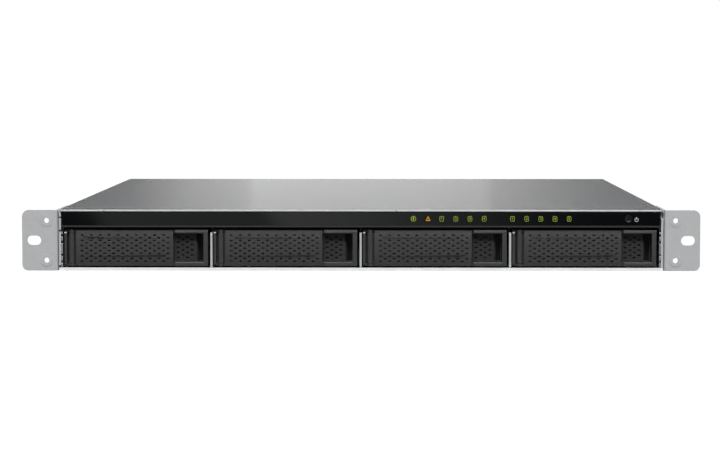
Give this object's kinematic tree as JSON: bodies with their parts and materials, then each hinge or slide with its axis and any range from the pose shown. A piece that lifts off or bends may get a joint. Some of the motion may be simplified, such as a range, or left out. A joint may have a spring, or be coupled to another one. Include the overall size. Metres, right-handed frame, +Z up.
{
  "type": "rack-mount network storage enclosure",
  "caption": "Flat 19-inch rack storage unit with lever-fronted pull-out drive trays side by side under a glossy status bezel, with rack ears, cooling fans and power supply.",
  "frame": {"origin": "middle of the unit's footprint box, on the underside of the chassis", "axes": "+X to the right as seen from the front, +Y from the front to the rear sockets, +Z up"},
  "size_m": [0.4826, 0.4834, 0.0436],
  "materials": {
    "grey_steel": "satin grey powder coat",
    "ear_steel": "light grey fine-grained coat",
    "zinc_steel": "bright zinc-plated sheet",
    "gloss_black": "polished smoked black",
    "matt_black": "moulded matt black",
    "tray_plastic": "fine-textured dark grey moulding",
    "lever_plastic": "fine-textured dark grey moulding",
    "clear_plastic": "clear moulding",
    "circuit_board": "solder mask",
    "drive_metal": "cast and sheet metal drive casing",
    "fin_metal": "extruded",
    "bright_metal": "nickel-plated"
  },
  "bodies": {
    "root": {"chassis_pan": "grey_steel", "socket_plate": "grey_steel", "front_top_rail": "grey_steel", "top_cover": "grey_steel", "bay_roof": "zinc_steel", "ear_right": "ear_steel", "ear_left": "ear_steel", "finger_strip_right": "zinc_steel", "finger_strip_left": "zinc_steel", "bezel_frame": "matt_black", "bezel_window": "gloss_black", "light_pipe_bar": "clear_plastic", "led_board": "circuit_board", "divider_1": "zinc_steel", "divider_2": "zinc_steel", "divider_3": "zinc_steel", "drive_socket_1": "matt_black", "drive_socket_2": "matt_black", "drive_socket_3": "matt_black", "drive_socket_4": "matt_black", "backplane": "circuit_board", "fan_wall": "zinc_steel", "fan_frame_1": "matt_black", "fan_frame_2": "matt_black", "fan_frame_3": "matt_black", "mainboard": "circuit_board", "heat_sink": "fin_metal", "memory_module": "circuit_board", "lan_ports": "bright_metal", "usb_ports": "bright_metal", "slot_cover": "zinc_steel", "psu_case": "zinc_steel", "power_inlet": "matt_black"},
    "tray_1": {"tray_sled_1": "tray_plastic", "tray_front_1": "tray_plastic", "lever_pin_1": "bright_metal", "hard_drive_1": "drive_metal"},
    "tray_2": {"tray_sled_2": "tray_plastic", "tray_front_2": "tray_plastic", "lever_pin_2": "bright_metal", "hard_drive_2": "drive_metal"},
    "tray_3": {"tray_sled_3": "tray_plastic", "tray_front_3": "tray_plastic", "lever_pin_3": "bright_metal", "hard_drive_3": "drive_metal"},
    "tray_4": {"tray_sled_4": "tray_plastic", "tray_front_4": "tray_plastic", "lever_pin_4": "bright_metal", "hard_drive_4": "drive_metal"},
    "lever_1": {"tray_lever_1": "lever_plastic"},
    "lever_2": {"tray_lever_2": "lever_plastic"},
    "lever_3": {"tray_lever_3": "lever_plastic"},
    "lever_4": {"tray_lever_4": "lever_plastic"},
    "button": {"power_button": "matt_black"},
    "rotor_1": {"fan_rotor_1": "matt_black"},
    "rotor_2": {"fan_rotor_2": "matt_black"},
    "rotor_3": {"fan_rotor_3": "matt_black"},
    "psu_rotor": {"psu_fan_rotor": "matt_black"}
  },
  "joints": [
    {"name": "tray_1_slide", "type": "slide", "parent": "root", "child": "tray_1", "axis": [0, -1, 0], "range_m": [0, 0.165]},
    {"name": "tray_2_slide", "type": "slide", "parent": "root", "child": "tray_2", "axis": [0, -1, 0], "range_m": [0, 0.165]},
    {"name": "tray_3_slide", "type": "slide", "parent": "root", "child": "tray_3", "axis": [0, -1, 0], "range_m": [0, 0.165]},
    {"name": "tray_4_slide", "type": "slide", "parent": "root", "child": "tray_4", "axis": [0, -1, 0], "range_m": [0, 0.165]},
    {"name": "lever_1_hinge", "type": "hinge", "parent": "tray_1", "child": "lever_1", "pos_m": [-0.20605, -0.2376, 0.01625], "axis": [0, 0, -1], "range_deg": [0, 75]},
    {"name": "lever_2_hinge", "type": "hinge", "parent": "tray_2", "child": "lever_2", "pos_m": [-0.09965, -0.2376, 0.01625], "axis": [0, 0, -1], "range_deg": [0, 75]},
    {"name": "lever_3_hinge", "type": "hinge", "parent": "tray_3", "child": "lever_3", "pos_m": [0.00675, -0.2376, 0.01625], "axis": [0, 0, -1], "range_deg": [0, 75]},
    {"name": "lever_4_hinge", "type": "hinge", "parent": "tray_4", "child": "lever_4", "pos_m": [0.11315, -0.2376, 0.01625], "axis": [0, 0, -1], "range_deg": [0, 75]},
    {"name": "power_button_press", "type": "slide", "parent": "root", "child": "button", "axis": [0, 1, 0], "range_m": [0, 0.001], "stiffness_N_per_m": 300},
    {"name": "fan_1_spin", "type": "hinge", "parent": "root", "child": "rotor_1", "pos_m": [-0.15, -0.0387, 0.0219], "axis": [0, 1, 0], "continuous": true},
    {"name": "fan_2_spin", "type": "hinge", "parent": "root", "child": "rotor_2", "pos_m": [-0.05, -0.0387, 0.0219], "axis": [0, 1, 0], "continuous": true},
    {"name": "fan_3_spin", "type": "hinge", "parent": "root", "child": "rotor_3", "pos_m": [0.05, -0.0387, 0.0219], "axis": [0, 1, 0], "continuous": true},
    {"name": "psu_fan_spin", "type": "hinge", "parent": "root", "child": "psu_rotor", "pos_m": [0.1885, 0.2254, 0.0219], "axis": [0, 1, 0], "continuous": true}
  ]
}
